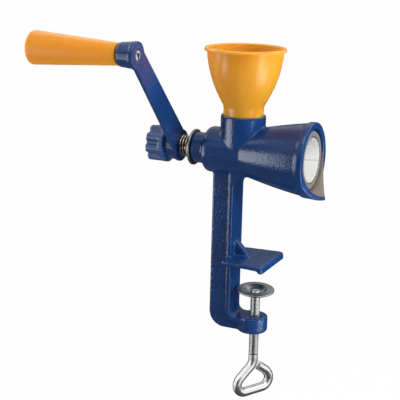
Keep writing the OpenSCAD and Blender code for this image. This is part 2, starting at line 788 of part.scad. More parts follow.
module clamp_screw() {
    edge = 0.8;
    rivet_t = 2.2;
    lap = 2;
    rivet_top = cup_floor + face_gap + rivet_t;
    bar = loop_z + rod_r;
    corners = [[0, bend_z + lap], [0, bend_z - 1.3 * rod_r], [-0.62 * loop_left, bend_z - 4 * rod_r],
               [-loop_left - 0.7 * loop_r, bar], [loop_right + 0.72 * loop_r, bar],
               [0.76 * loop_right, bend_z - 3.5 * rod_r], [1.2 * rod_r, bend_z - 1.85 * rod_r]];
    radii = [0, loop_r + 1, loop_r + 6, loop_r, loop_r, loop_r + 5, 0];
    path = [for (p = bent(corners, radii)) [p[0], p[1], 0]];
    last = len(path) - 1;
    along = [for (i = [0 : last]) unit(path[min(i + 1, last)] - path[max(i - 1, 0)])];
    color(steel) translate([screw_x, 0, 0]) {
        rotate([0, 0, loop_turn]) rotate([90, 0, 0]) tube(path, along, rod_r - seat_gap, 16);
        spun([[bend_z, 0], [bend_z, rod_r], [shoulder_z - edge, rod_r], [shoulder_z, rod_r - edge],
              [shoulder_z, rivet_neck_r], [cup_floor + face_gap, rivet_neck_r],
              [cup_floor + face_gap, rod_r + 0.6], [rivet_top - edge, rod_r + 0.6],
              [rivet_top, rod_r - edge], [rivet_top, 0]]);
    }
}

module clamp_pad() {
    hole = rivet_neck_r + face_gap;
    wall_r = cup_r + 2.6;
    lip_drop = 0.6;
    color(steel) translate([screw_x, 0, 0]) spun([
        [cup_floor, hole], [cup_floor, cup_r], [pad_z - 0.8, wall_r], [pad_z, wall_r + 1],
        [pad_z, pad_r - lip_drop], [pad_z - lip_drop, pad_r], [pad_z - pad_t - lip_drop, pad_r],
        [pad_z - pad_t, pad_r - lip_drop], [pad_z - pad_t, wall_r + pad_t],
        [cup_floor - pad_t, cup_r + pad_t], [cup_floor - pad_t, hole]]);
}

mill_body();
grinding_ring();
spindle_bush();
spindle();
feed_worm();
worm_pin();
grinding_cone();
cone_pin();
thrust_washer();
spring();
crank_arm();
grip_pin();
grip_washer();
head_washer();
grip();
adjusting_knob();
knob_insert();
hopper();
clamp_screw();
clamp_pad();
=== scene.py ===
import bpy
import math
from mathutils import Matrix, Vector


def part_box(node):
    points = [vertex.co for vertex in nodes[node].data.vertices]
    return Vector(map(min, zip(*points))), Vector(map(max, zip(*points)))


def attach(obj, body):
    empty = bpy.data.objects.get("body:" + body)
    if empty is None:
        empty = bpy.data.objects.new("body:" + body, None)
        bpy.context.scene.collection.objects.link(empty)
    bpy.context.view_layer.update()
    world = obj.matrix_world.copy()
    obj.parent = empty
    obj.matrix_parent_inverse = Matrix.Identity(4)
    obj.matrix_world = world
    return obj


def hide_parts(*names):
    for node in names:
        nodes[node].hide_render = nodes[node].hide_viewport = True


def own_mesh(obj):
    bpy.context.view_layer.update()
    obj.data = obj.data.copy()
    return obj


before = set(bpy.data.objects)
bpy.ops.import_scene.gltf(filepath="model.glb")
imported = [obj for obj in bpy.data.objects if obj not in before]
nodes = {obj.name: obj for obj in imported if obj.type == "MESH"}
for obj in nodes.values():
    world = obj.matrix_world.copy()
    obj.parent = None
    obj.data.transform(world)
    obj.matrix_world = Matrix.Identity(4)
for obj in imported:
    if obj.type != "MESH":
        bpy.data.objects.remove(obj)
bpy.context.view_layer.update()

mm = 0.001  # the frame is in metres, and the sizes below are in millimetres
seamGap = 1e-7  # in metres: points closer than this are one point
bumpStrength = 0.4  # the same on every finish but the enamel
print("frame loaded with", len(nodes), "solids")


def span(node, axis):
    # lowest and highest place of a solid along one axis, in millimetres
    low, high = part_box(node)
    return low[axis] / mm, high[axis] / mm


def middle(node, axis):
    return sum(span(node, axis)) / 2


# Axes that several pieces share, in millimetres
spindleCentre = (0.0, middle("thrust_washer", 1), middle("thrust_washer", 2))
gripCentre = (0.0, middle("grip", 1), middle("grip", 2))
screwCentre = (middle("clamp_pad", 0), 0.0, 0.0)
hopperCentre = (middle("hopper", 0), 0.0, 0.0)
spindleZ = spindleCentre[2]


# Modelling helpers

def dropSelection():
    if bpy.context.object and bpy.context.object.mode != "OBJECT":
        bpy.ops.object.mode_set(mode="OBJECT")
    bpy.ops.object.select_all(action="DESELECT")


def pick(piece):
    dropSelection()
    piece.select_set(True)
    bpy.context.view_layer.objects.active = piece


def nameActive(name):
    piece = bpy.context.active_object
    piece.name = name
    piece.data.name = name
    return piece


def useModifier(piece, kind, **settings):
    pick(piece)
    modifier = piece.modifiers.new(kind.lower(), kind)
    for key, value in settings.items():
        setattr(modifier, key, value)
    bpy.ops.object.modifier_apply(modifier=modifier.name)


def cleanMesh(piece, gap=1e-6, outward=True):
    # close points become one, and the faces are turned outwards
    pick(piece)
    bpy.ops.object.mode_set(mode="EDIT")
    bpy.ops.mesh.select_all(action="SELECT")
    bpy.ops.mesh.remove_doubles(threshold=gap)
    if outward:
        bpy.ops.mesh.normals_make_consistent(inside=False)
    bpy.ops.object.mode_set(mode="OBJECT")


def settle(piece):
    # puts the object's place into its mesh
    pick(piece)
    bpy.ops.object.transform_apply(location=True, rotation=True, scale=True)


def softCorners(outline, radii, steps=4):
    # the outline with the listed corners turned into small arcs
    soft = []
    for i, point in enumerate(outline):
        if i not in radii or i in (0, len(outline) - 1):
            soft.append(tuple(point))
            continue
        here = Vector(point)
        back = (Vector(outline[i - 1]) - here).normalized()
        ahead = (Vector(outline[i + 1]) - here).normalized()
        half = back.angle(ahead) / 2
        reach = radii[i] / math.tan(half)
        centre = here + (back + ahead).normalized() * (radii[i] / math.sin(half))
        start = here + back * reach - centre
        end = here + ahead * reach - centre
        sweep = start.angle(end)
        for k in range(steps + 1):
            t = k / steps
            arm = (start * math.sin((1 - t) * sweep) + end * math.sin(t * sweep)) / math.sin(sweep)
            soft.append(tuple(centre + arm))
    return soft


def curvePoints(controls, count):
    # points along a smooth curve, which starts and ends on its control points and is drawn towards the rest
    points = []
    for k in range(count + 1):
        row = [Vector(c) for c in controls]
        while len(row) > 1:
            row = [a.lerp(b, k / count) for a, b in zip(row, row[1:])]
        points.append(tuple(row[0]))
    return points


def turnedPiece(name, outline, centre, axis, steps=128, rise=0.0, turns=1, gap=seamGap, smooth=32):
    # one vertex is drawn along the outline of (station, radius) and turned round the axis,
    # rising with each turn where the piece is a thread
    points = [Vector((s, 0, r) if axis == "X" else (r, 0, s)) * mm for s, r in outline]
    dropSelection()
    bpy.ops.mesh.primitive_plane_add(size=mm, location=[c * mm for c in centre])
    piece = nameActive(name)
    bpy.ops.object.mode_set(mode="EDIT")
    bpy.ops.mesh.select_all(action="SELECT")
    bpy.ops.mesh.merge(type="CENTER")
    bpy.ops.transform.translate(value=points[0])
    for here, there in zip(points, points[1:]):
        bpy.ops.mesh.extrude_region_move(TRANSFORM_OT_translate={"value": there - here})
    bpy.ops.object.mode_set(mode="OBJECT")
    useModifier(piece, "SCREW", axis=axis, angle=2 * math.pi, screw_offset=rise * mm, iterations=turns,
                steps=steps, render_steps=steps, use_merge_vertices=True, merge_threshold=seamGap)
    cleanMesh(piece, gap)
    settle(piece)
    bpy.ops.object.shade_smooth_by_angle(angle=math.radians(smooth))
    return piece


def tubeAlong(name, path, radius, sides):
    # a round bar along a path, by a curve with thickness that is then made a mesh
    dropSelection()
    bpy.ops.curve.primitive_nurbs_path_add()
    piece = nameActive(name)
    curve = piece.data
    curve.splines.clear()
    line = curve.splines.new("POLY")
    line.points.add(len(path) - 1)
    for point, p in zip(line.points, path):
        point.co = (p[0] * mm, p[1] * mm, p[2] * mm, 1)
    curve.dimensions = "3D"
    curve.bevel_depth = radius * mm
    curve.bevel_resolution = sides
    curve.use_fill_caps = True
    piece.location = (0, 0, 0)
    pick(piece)
    bpy.ops.object.convert(target="MESH")
    piece = nameActive(name)
    cleanMesh(piece, seamGap)
    bpy.ops.object.shade_smooth_by_angle(angle=math.radians(40))
    return piece


def castFrom(nodeName, name, voxelMm, rounds):
    # a copy of the solid, remeshed and relaxed so that its edges get the soft radius of a casting
    mesh = nodes[nodeName].data.copy()
    mesh.materials.clear()
    piece = bpy.data.objects.new(name, mesh)
    bpy.context.scene.collection.objects.link(piece)
    cleanMesh(piece, outward=False)
    useModifier(piece, "REMESH", mode="VOXEL", voxel_size=voxelMm * mm, adaptivity=0)
    useModifier(piece, "SMOOTH", factor=0.5, iterations=rounds)
    pick(piece)
    bpy.ops.object.shade_smooth()
    mesh.name = name
    print(name, "cast with", len(piece.data.polygons), "faces")
    return piece


# Material helpers

def srgb(code):
    parts = [int(code[i:i + 2], 16) / 255 for i in (1, 3, 5)]
    return [p / 12.92 if p <= 0.04045 else ((p + 0.055) / 1.055) ** 2.4 for p in parts] + [1.0]


def scaleFor(sizeMm):
    # the noise scale that gives spots of about this size
    return 1 / (sizeMm * mm)


def newMaterial(name):
    material = bpy.data.materials.new(name)
    material.use_nodes = True
    return material, material.node_tree.nodes["Principled BSDF"]


def socketOf(node, key):
    # an input by its name, or by its place as i0, i1 and so on
    if key[0] == "i" and key[1:].isdigit():
        return node.inputs[int(key[1:])]
    return node.inputs.get(key)


def addNode(material, kind, settings=None, **links):
    # adds a node, sets its options and input values, and links its other inputs
    node = material.node_tree.nodes.new(kind)
    for key, value in (settings or {}).items():
        socket = socketOf(node, key)
        if socket is None:
            setattr(node, key, value)
        else:
            socket.default_value = value
    for key, source in links.items():
        material.node_tree.links.new(source, socketOf(node, key))
    return node


def joinTo(material, source, target):
    material.node_tree.links.new(source, target)


def distanceFrom(material, where, centre, across):
    # distance from an axis through the centre; across holds 1 for the two directions that count
    moved = addNode(material, "ShaderNodeMapping", {"Location": [-c * mm for c in centre]}, Vector=where)
    flat = addNode(material, "ShaderNodeVectorMath", {"operation": "MULTIPLY", "i1": across},
                   i0=moved.outputs[0])
    length = addNode(material, "ShaderNodeVectorMath", {"operation": "LENGTH"}, i0=flat.outputs[0])
    return length.outputs["Value"]


# Enamel, sprayed and stoved over a sand casting: deep gloss, an orange peel that breaks up the highlights,
# and grit showing through on the sides. Peel and grit are drawn coarser than real, to show at two pixels
enamel = {"deep": "#0d2853", "blue": "#113e7a", "cloudMm": 22, "roughness": 0.19,
          "peelMm": 1.6, "peelDepthMm": 0.4, "gritMm": 2.0, "gritDepthMm": 0.7,
          "gritLeast": 0.04, "gritMore": 0.36, "gritZ": (78, 70), "gritX": (-3, -5)}
# Iron rubbed bare on the spout's floor, inside a limit that widens towards the tip
spout = {"bare": "#8b8177", "dark": "#5f5750", "roughness": 0.6, "startX": 63.5, "narrowX": 68.0,
         "narrowR": 26.8, "tipX": 79.6, "tipR": 30.0, "fadeUp": 7.0, "fadeDown": 6.0}


def makeEnamel(name, peelStrength, specular):
    material, shader = newMaterial(name)
    where = addNode(material, "ShaderNodeTexCoord").outputs["Object"]
    axes = addNode(material, "ShaderNodeSeparateXYZ", Vector=where)
    cloud = addNode(material, "ShaderNodeTexNoise", {"Scale": scaleFor(enamel["cloudMm"]), "Detail": 3.0},
                    Vector=where)
    tone = addNode(material, "ShaderNodeMix", {"data_type": "RGBA", "i6": srgb(enamel["deep"]),
                   "i7": srgb(enamel["blue"])}, i0=cloud.outputs["Fac"])
    peel = addNode(material, "ShaderNodeTexNoise", {"Scale": scaleFor(enamel["peelMm"]), "Detail": 2.0},
                   Vector=where)
    grit = addNode(material, "ShaderNodeTexNoise", {"Scale": scaleFor(enamel["gritMm"]), "Detail": 1.5},
                   Vector=where)
    # the as-cast grit shows on the column's web, behind its flange
    lowSide = addNode(material, "ShaderNodeMapRange", {"From Min": enamel["gritZ"][0] * mm,
                      "From Max": enamel["gritZ"][1] * mm}, Value=axes.outputs["Z"])
    backSide = addNode(material, "ShaderNodeMapRange", {"From Min": enamel["gritX"][0] * mm,
                       "From Max": enamel["gritX"][1] * mm}, Value=axes.outputs["X"])
    gritMask = addNode(material, "ShaderNodeMath", {"operation": "MULTIPLY"},
                       i0=lowSide.outputs["Result"], i1=backSide.outputs["Result"])
    gritStrength = addNode(material, "ShaderNodeMath", {"operation": "MULTIPLY_ADD", "i1": enamel["gritMore"],
                           "i2": enamel["gritLeast"]}, i0=gritMask.outputs[0])
    fine = addNode(material, "ShaderNodeBump", {"Distance": enamel["gritDepthMm"] * mm},
                   Height=grit.outputs["Fac"], Strength=gritStrength.outputs[0])
    bump = addNode(material, "ShaderNodeBump", {"Distance": enamel["peelDepthMm"] * mm,
                   "Strength": peelStrength}, Height=peel.outputs["Fac"], Normal=fine.outputs["Normal"])
    # worn bare where the ground spice slides out over the spout's floor
    limit = addNode(material, "ShaderNodeMapRange", {"From Min": spout["narrowX"] * mm,
                    "From Max": spout["tipX"] * mm, "To Min": spout["narrowR"] * mm,
                    "To Max": spout["tipR"] * mm}, Value=axes.outputs["X"])
    within = addNode(material, "ShaderNodeMath", {"operation": "LESS_THAN"},
                     i0=distanceFrom(material, where, spindleCentre, (0, 1, 1)), i1=limit.outputs["Result"])
    ahead = addNode(material, "ShaderNodeMath", {"operation": "GREATER_THAN", "i1": spout["startX"] * mm},
                    i0=axes.outputs["X"])
    below = addNode(material, "ShaderNodeMapRange", {"From Min": (spindleZ + spout["fadeUp"]) * mm,
                    "From Max": (spindleZ - spout["fadeDown"]) * mm}, Value=axes.outputs["Z"])
    inside = addNode(material, "ShaderNodeMath", {"operation": "MULTIPLY"},
                     i0=within.outputs[0], i1=ahead.outputs[0])
    bareMask = addNode(material, "ShaderNodeMath", {"operation": "MULTIPLY"},
                       i0=inside.outputs[0], i1=below.outputs["Result"])
    bareTone = addNode(material, "ShaderNodeMix", {"data_type": "RGBA", "i6": srgb(spout["dark"]),
                       "i7": srgb(spout["bare"])}, i0=grit.outputs["Fac"])
    painted = addNode(material, "ShaderNodeMix", {"data_type": "RGBA"},
                      i0=bareMask.outputs[0], i6=tone.outputs[2], i7=bareTone.outputs[2])
    shine = addNode(material, "ShaderNodeMapRange", {"To Min": enamel["roughness"],
                    "To Max": spout["roughness"]}, Value=bareMask.outputs[0])
    joinTo(material, painted.outputs[2], shader.inputs["Base Color"])
    joinTo(material, bump.outputs["Normal"], shader.inputs["Normal"])
    joinTo(material, shine.outputs["Result"], shader.inputs["Roughness"])
    shader.inputs["Specular IOR Level"].default_value = specular
    return material


# Light that sinks into a translucent moulding and comes out redder
glow = {"weight": 0.85, "reach": (1.0, 0.45, 0.1)}


def makePlain(name, light, dark, sizeMm, roughness, metallic=0.0, bumpMm=0.0, specular=0.5, glowMm=0.0):
    # a finish with two close tones, a fine bump and a roughness that wanders a little
    material, shader = newMaterial(name)
    where = addNode(material, "ShaderNodeTexCoord").outputs["Object"]
    cloud = addNode(material, "ShaderNodeTexNoise", {"Scale": scaleFor(sizeMm), "Detail": 4.0}, Vector=where)
    tone = addNode(material, "ShaderNodeMix", {"data_type": "RGBA", "i6": srgb(dark), "i7": srgb(light)},
                   i0=cloud.outputs["Fac"])
    joinTo(material, tone.outputs[2], shader.inputs["Base Color"])
    wander = addNode(material, "ShaderNodeMapRange", {"To Min": roughness * 0.8, "To Max": roughness * 1.2},
                     Value=cloud.outputs["Fac"])
    joinTo(material, wander.outputs["Result"], shader.inputs["Roughness"])
    if bumpMm:
        bump = addNode(material, "ShaderNodeBump", {"Distance": bumpMm * mm, "Strength": bumpStrength},
                       Height=cloud.outputs["Fac"])
        joinTo(material, bump.outputs["Normal"], shader.inputs["Normal"])
    shader.inputs["Metallic"].default_value = metallic
    if not metallic:
        shader.inputs["Specular IOR Level"].default_value = specular
    if glowMm:
        shader.inputs["Subsurface Weight"].default_value = glow["weight"]
        shader.inputs["Subsurface Radius"].default_value = glow["reach"]
        shader.inputs["Subsurface Scale"].default_value = glowMm * mm
    return material


# The column and bell have the full coat; the arm took a thinner, smoother one with cleaner reflections
blueEnamel = makeEnamel("stovedBlueEnamel", 0.5, 0.34)
armEnamel = makeEnamel("smoothBlueEnamel", 0.12, 0.48)
# moulded nylon: an even, waxy blue with a soft shine
knobPlastic = makePlain("mouldedBlueNylon", "#2f5692", "#23457e", 6, 0.28, bumpMm=0.05, specular=0.65)
# moulded polypropylene: smooth, and lit from within where light sinks in; the inside is a duller copy with
# painted light, lighter and yellower
amberPlastic = makePlain("mouldedAmberPolypropylene", "#dd992b", "#d58e24", 30, 0.28, specular=0.3,
                         glowMm=14)
insidePaintedLightPlastic = makePlain("amberPolypropylenePaintedInsideLight", "#dfa63a", "#d5972e", 9, 0.4, specular=0.2, glowMm=6)
# a moulding dulled by hands: broad, soft highlights
gripPlastic = makePlain("mouldedYellowGrip", "#ee9f28", "#e69422", 18, 0.42, bumpMm=0.03, specular=0.2,
                        glowMm=10)
# zinc: scuffed grey on the pad, nearly a mirror where it is new; ground pins are a pale satin
padSteel = makePlain("wornZincPad", "#a9abad", "#8c8e90", 4, 0.34, metallic=1.0, bumpMm=0.03)
zincPlate = makePlain("brightZincPlate", "#d6d8d7", "#caccca", 12, 0.24, metallic=0.95)
groundSteel = makePlain("groundSteelFace", "#e8e8e8", "#d4d4d4", 3, 0.42, metallic=1.0, bumpMm=0.02)

# Machined white iron: pale, dull and pitted, with one fine score across, and painted shade on its upper half.
# The pits and the score are drawn coarser than real, to show
coneFace = {"pale": "#ccccca", "paintedShade": "#8f918f", "score": "#6a6a68", "pitMm": 1.6, "pitDepthMm": 0.1,
            "grain": (0.38, 0.62), "paintedShadeUp": (2, 16), "scoreUp": 0.2, "scoreSlant": 0.2,
            "scoreHalf": (0.45, 0.25), "metallic": 0.3, "roughness": 0.6}


def makeConeFace():
    material, shader = newMaterial("machinedConeFace")
    where = addNode(material, "ShaderNodeTexCoord").outputs["Object"]
    axes = addNode(material, "ShaderNodeSeparateXYZ", Vector=where)
    pits = addNode(material, "ShaderNodeTexNoise", {"Scale": scaleFor(coneFace["pitMm"]), "Detail": 4.0},
                   Vector=where)
    # painted shade: greyer towards the top of the face, broken up by the grain of the pits
    up = addNode(material, "ShaderNodeMapRange", {"From Min": (spindleZ + coneFace["paintedShadeUp"][0]) * mm,
                 "From Max": (spindleZ + coneFace["paintedShadeUp"][1]) * mm}, Value=axes.outputs["Z"])
    grain = addNode(material, "ShaderNodeMapRange", {"From Min": coneFace["grain"][0],
                    "From Max": coneFace["grain"][1]}, Value=pits.outputs["Fac"])
    paintedShade = addNode(material, "ShaderNodeMath", {"operation": "MULTIPLY"},
                   i0=up.outputs["Result"], i1=grain.outputs["Result"])
    tone = addNode(material, "ShaderNodeMix", {"data_type": "RGBA", "i6": srgb(coneFace["pale"]),
                   "i7": srgb(coneFace["paintedShade"])}, i0=paintedShade.outputs[0])
    # the score is a slanting line, broken by the same grain
    slant = addNode(material, "ShaderNodeMath", {"operation": "MULTIPLY_ADD", "i1": coneFace["scoreSlant"]},
                    i0=axes.outputs["Y"], i2=axes.outputs["Z"])
    offset = addNode(material, "ShaderNodeMath", {"operation": "SUBTRACT",
                     "i1": (spindleZ + coneFace["scoreUp"]) * mm}, i0=slant.outputs[0])
    gap = addNode(material, "ShaderNodeMath", {"operation": "ABSOLUTE"}, i0=offset.outputs[0])
    line = addNode(material, "ShaderNodeMapRange", {"From Min": coneFace["scoreHalf"][0] * mm,
                   "From Max": coneFace["scoreHalf"][1] * mm}, Value=gap.outputs[0])
    broken = addNode(material, "ShaderNodeMath", {"operation": "MULTIPLY"},
                     i0=line.outputs["Result"], i1=grain.outputs["Result"])
    scored = addNode(material, "ShaderNodeMix", {"data_type": "RGBA", "i7": srgb(coneFace["score"])},
                     i0=broken.outputs[0], i6=tone.outputs[2])
    joinTo(material, scored.outputs[2], shader.inputs["Base Color"])
    bump = addNode(material, "ShaderNodeBump", {"Distance": coneFace["pitDepthMm"] * mm,
                   "Strength": bumpStrength}, Height=pits.outputs["Fac"])
    joinTo(material, bump.outputs["Normal"], shader.inputs["Normal"])
    shader.inputs["Metallic"].default_value = coneFace["metallic"]
    shader.inputs["Roughness"].default_value = coneFace["roughness"]
    return material


coneIron = makeConeFace()
# bare iron is dull and pitted, oiled steel dark and shiny, drawn wire has sharp glints, turned steel is
# satin, black oxide keeps a low sheen and bearing bronze is a dull gold
greyIron = makePlain("bareGreyIron", "#a6a6a3", "#7d7d7a", 1.4, 0.6, metallic=0.5, bumpMm=0.12)
darkSteel = makePlain("oiledDarkSteel", "#6d6b69", "#4a4846", 2.5, 0.3, metallic=1.0)
springSteel = makePlain("drawnSpringWire", "#b5aaa1", "#8d8077", 4, 0.24, metallic=1.0)
washerSteel = makePlain("turnedWasherSteel", "#93948c", "#7b7c74", 3, 0.38, metallic=1.0)
blackSteel = makePlain("blackenedSteel", "#3a3a3c", "#222224", 3, 0.4, metallic=0.8)
bronze = makePlain("bearingBronze", "#b08d57", "#94733f", 4, 0.4, metallic=1.0)

# Zinc on a rolled thread: bright crests, and painted shade that greys the roots
threadFace = {"plate": "#dcdedd", "rootShade": "#8a8884", "crestR": 4.15, "rootR": 3.85, "metallic": 0.95,
              "roughness": 0.22}


def makeThreadZinc():
    material, shader = newMaterial("zincThreadPaintedRootShade")
    where = addNode(material, "ShaderNodeTexCoord").outputs["Object"]
    # painted shade: the thread's roots are painted greyer than its crests
    paintedRootShade = addNode(material, "ShaderNodeMapRange", {"From Min": threadFace["crestR"] * mm,
                   "From Max": threadFace["rootR"] * mm},
                   Value=distanceFrom(material, where, screwCentre, (1, 1, 0)))
    tone = addNode(material, "ShaderNodeMix", {"data_type": "RGBA", "i6": srgb(threadFace["plate"]),
                   "i7": srgb(threadFace["rootShade"])}, i0=paintedRootShade.outputs["Result"])
    joinTo(material, tone.outputs[2], shader.inputs["Base Color"])
    shader.inputs["Metallic"].default_value = threadFace["metallic"]
    shader.inputs["Roughness"].default_value = threadFace["roughness"]
    return material


threadZinc = makeThreadZinc()

# Hammered steel with painted light: a painted highlight ring, and painted shade in the dimple and round the
# edge
rivetFace = {"dark": "#343548", "paintedHighlight": "#b0b3b7", "highlightR": 3.1, "highlightHalf": (1.2, 0.5), "dentMm": 2.2,
             "dentDepthMm": 0.3, "dents": (0.36, 0.56), "metallic": 0.15, "roughness": 0.45}


def makeRivetSteel():
    material, shader = newMaterial("peenedRivetPaintedLight")
    where = addNode(material, "ShaderNodeTexCoord").outputs["Object"]
    dents = addNode(material, "ShaderNodeTexNoise", {"Scale": scaleFor(rivetFace["dentMm"]), "Detail": 1.0},
                    Vector=where)
    # painted highlight: a bright ring round the centre, broken into patches by the dents; elsewhere painted
    # shade
    offset = addNode(material, "ShaderNodeMath", {"operation": "SUBTRACT", "i1": rivetFace["highlightR"] * mm},
                     i0=distanceFrom(material, where, gripCentre, (0, 1, 1)))
    gap = addNode(material, "ShaderNodeMath", {"operation": "ABSOLUTE"}, i0=offset.outputs[0])
    highlightRing = addNode(material, "ShaderNodeMapRange", {"From Min": rivetFace["highlightHalf"][0] * mm,
                   "From Max": rivetFace["highlightHalf"][1] * mm}, Value=gap.outputs[0])
    patches = addNode(material, "ShaderNodeMapRange", {"From Min": rivetFace["dents"][0],
                      "From Max": rivetFace["dents"][1]}, Value=dents.outputs["Fac"])
    paintedHighlight = addNode(material, "ShaderNodeMath", {"operation": "MULTIPLY"},
                     i0=highlightRing.outputs["Result"], i1=patches.outputs["Result"])
    tone = addNode(material, "ShaderNodeMix", {"data_type": "RGBA", "i6": srgb(rivetFace["dark"]),
                   "i7": srgb(rivetFace["paintedHighlight"])}, i0=paintedHighlight.outputs[0])
    joinTo(material, tone.outputs[2], shader.inputs["Base Color"])
    bump = addNode(material, "ShaderNodeBump", {"Distance": rivetFace["dentDepthMm"] * mm,
                   "Strength": bumpStrength}, Height=dents.outputs["Fac"])
    joinTo(material, bump.outputs["Normal"], shader.inputs["Normal"])
    shader.inputs["Metallic"].default_value = rivetFace["metallic"]
    shader.inputs["Roughness"].default_value = rivetFace["roughness"]
    return material


rivetSteel = makeRivetSteel()
print("materials made")

# Castings and the moulded knob
bodyCast = {"voxelMm": 0.82, "rounds": 6}
bodyCasting = castFrom("mill_body", "bodyCasting", **bodyCast)
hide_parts("mill_body")
armCast = {"voxelMm": 0.45, "rounds": 5}
armCasting = castFrom("crank_arm", "armCasting", **armCast)
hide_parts("crank_arm")
knobCast = {"voxelMm": 0.35, "rounds": 5}
knobMoulding = castFrom("adjusting_knob", "knobMoulding", **knobCast)
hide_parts("adjusting_knob")

# Hopper: egg-cup bowl with a rolled bead, turned from its wall's outline
# shoulder and hip: share of the bowl's height below the rim, and how far in from the bowl's radius
hopper = {"rimZ": 187.0, "rimDrop": 1.2, "bowlR": 32.6, "shoulder": (0.34, 0.8), "hip": (0.62, 4.4),
          "waistZ": 140.5, "waistR": 18.25, "blend": (2, 5), "spigotZ": 116.6, "spigotR": 17.35, "edge": 0.5,
          "wall": 2.0, "beadR": 1.9, "beadOut": 0.5}
rimZ, bowlR = hopper["rimZ"], hopper["bowlR"]
spigotZ, spigotR = hopper["spigotZ"], hopper["spigotR"]
waist = (hopper["waistZ"], hopper["waistR"])
bowlH = rimZ - waist[0]
shoulder, hip = [(rimZ - share * bowlH, bowlR - inward)
                 for share, inward in (hopper["shoulder"], hopper["hip"])]
outside = curvePoints([(rimZ - hopper["rimDrop"], bowlR), shoulder, hip, waist], 28)
blendNeck = curvePoints([waist] + [(waist[0] - drop, spigotR) for drop in hopper["blend"]], 6)[1:]
inside = [(z, r - hopper["wall"]) for z, r in reversed(outside + blendNeck)]
bead = [(rimZ + hopper["beadR"] * math.sin(math.radians(a)),
         bowlR + hopper["beadOut"] + hopper["beadR"] * math.cos(math.radians(a)))
        for a in range(210, -50, -20)]
spigotEnd = [(spigotZ + hopper["edge"], spigotR), (spigotZ, spigotR - hopper["edge"]),
             (spigotZ, spigotR - hopper["wall"])]
hopperOutline = outside + blendNeck + spigotEnd + inside + bead + [outside[0]]
hopperCup = turnedPiece("hopperCup", hopperOutline, hopperCentre, "Z", 160)
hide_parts("hopper")


def insideFaces(piece, centre):
    # the faces that look towards the piece's upright axis take its second material
    for face in piece.data.polygons:
        away = Vector((face.center.x - centre[0] * mm, face.center.y - centre[1] * mm, 0)).normalized()
        if face.normal.dot(away) < -0.2:
            face.material_index = 1


# Grip: tapered moulding with a rounded free end and a pocket for the pin's head
gripSize = {"thin": 9.2, "thick": 14.4, "bore": 4.05, "pocket": 7.9, "pocketDepth": 5.2,
            "corners": {1: 1.0, 2: 2.4, 3: 0.6}}
gripBack, gripFront = span("grip", 0)
pocketFloor = gripBack + gripSize["pocketDepth"]
gripOutline = softCorners([
    (gripFront, gripSize["bore"]), (gripFront, gripSize["thin"]), (gripBack, gripSize["thick"]),
    (gripBack, gripSize["pocket"]), (pocketFloor, gripSize["pocket"]), (pocketFloor, gripSize["bore"]),
    (gripFront, gripSize["bore"])], gripSize["corners"], 8)
gripMoulding = turnedPiece("gripMoulding", gripOutline, gripCentre, "X")
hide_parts("grip")

# Thrust washer: a turned ring with broken edges
washer = {"hole": 6.05, "edge": 0.45}
washerBack, washerFront = span("thrust_washer", 0)
washerR = span("thrust_washer", 2)[1] - spindleZ
washerOutline = softCorners([
    (washerFront, washer["hole"]), (washerFront, washerR), (washerBack, washerR),
    (washerBack, washer["hole"]), (washerFront, washer["hole"])], {1: washer["edge"], 2: washer["edge"]}, 3)
thrustRing = turnedPiece("thrustRing", washerOutline, spindleCentre, "X", 96)
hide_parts("thrust_washer")

# Riveted end of the grip pin: peened over into a low button with a dimple
rivet = {"inset": 0.4, "edge": 0.4, "height": 0.9, "radius": 4.3, "shoulder": 1.0, "dimple": 2.2,
         "dimpleDepth": 1.0, "corners": {2: 0.3, 3: 0.5, 4: 0.5}}
rivetFoot = span("grip_pin", 0)[1]
rivetTop = rivetFoot + rivet["height"]
rivetOutline = softCorners([
    (rivetFoot - rivet["inset"], 0), (rivetFoot - rivet["inset"], rivet["radius"]),
    (rivetFoot + rivet["edge"], rivet["radius"]), (rivetTop, rivet["radius"] - rivet["shoulder"]),
    (rivetTop, rivet["dimple"]), (rivetTop - rivet["dimpleDepth"], 0)], rivet["corners"], 3)
rivetEnd = turnedPiece("rivetEnd", rivetOutline, gripCentre, "X", 64)

# Spring wire: the path of the solid with a round wire; flat is the share of a turn that closes each end
springCoil = {"wire": 1.6, "turns": 4, "flat": 0.4, "perTurn": 40, "travel": 1.9}
springBack, springFront = span("spring", 0)
springR = span("spring", 2)[1] - spindleZ


def springPath():
    mid = springR - springCoil["wire"] / 2
    flat, turns = springCoil["flat"], springCoil["turns"]
    rise = (springFront - springBack - springCoil["wire"]) / (turns - flat)
    path = []
    count = int(turns * springCoil["perTurn"])
    for k in range(count + 1):
        t = turns * k / count
        if t < flat:
            x = rise * t * t / (2 * flat)
        elif t > turns - flat:
            x = rise * (turns - flat) - rise * (turns - t) ** 2 / (2 * flat)
        else:
            x = rise * (t - flat / 2)
        angle = 2 * math.pi * t
        path.append((springBack + springCoil["wire"] / 2 + x, mid * math.cos(angle),
                     spindleZ + mid * math.sin(angle)))
    return path


springWire = tubeAlong("springWire", springPath(), springCoil["wire"] / 2, 5)
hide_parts("spring")

